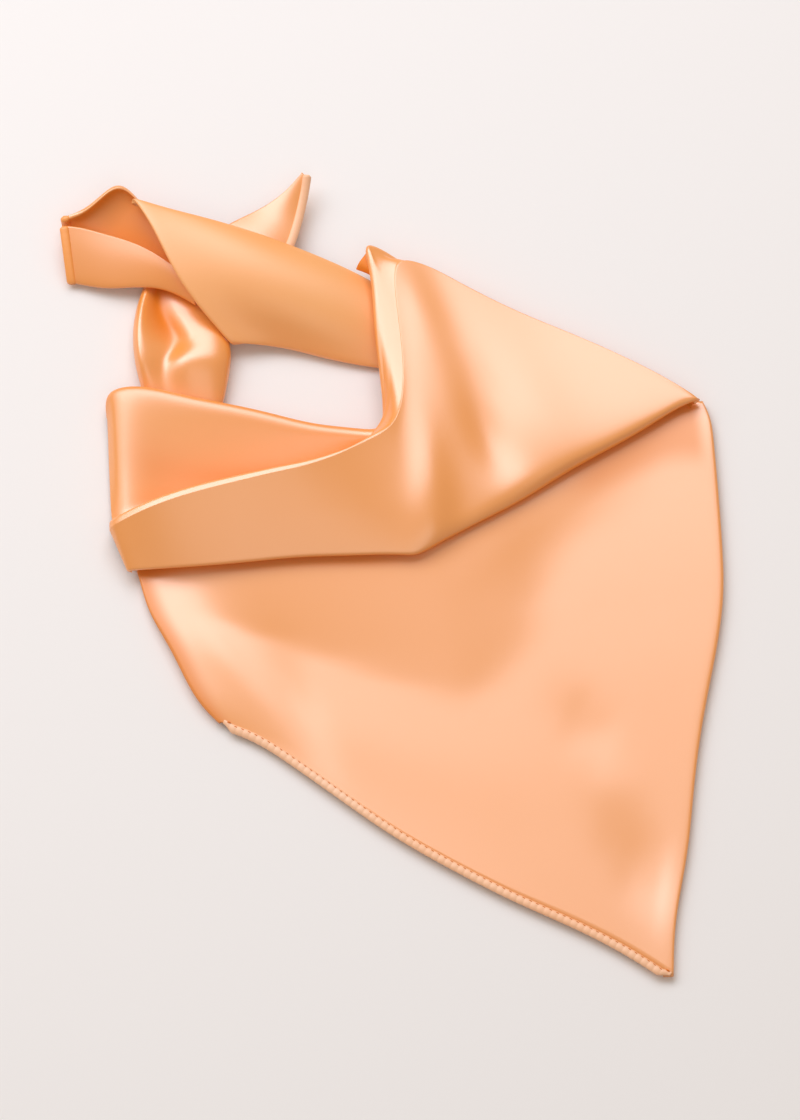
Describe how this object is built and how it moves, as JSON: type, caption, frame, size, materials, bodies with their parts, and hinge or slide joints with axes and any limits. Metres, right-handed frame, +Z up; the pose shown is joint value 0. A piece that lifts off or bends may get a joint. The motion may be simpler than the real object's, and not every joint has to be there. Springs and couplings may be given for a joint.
{
  "type": "scarf",
  "caption": "Square satin neckerchief folded into a triangle and tied in a loose loop, lying flat; worn round the neck as neckwear",
  "frame": {"origin": "middle of the bounding box, on the table", "axes": "+Z up from the table, +X to the right of the front point, +Y towards the knotted ends; the front point hangs towards -Y"},
  "size_m": [0.332, 0.426, 0.032],
  "materials": {
    "satin": "satin weave, soft sheen",
    "hem_satin": "satin weave, rolled and stitched"
  },
  "bodies": {
    "root": {"under_layer": "satin", "front_point": "satin", "front_hem": "hem_satin", "collar_fold": "satin", "neck_band": "satin", "blunt_tail": "satin", "blunt_tail_hem": "hem_satin", "knot_strand": "satin", "pointed_tail": "satin", "pointed_tail_hem": "hem_satin"}
  },
  "joints": []
}
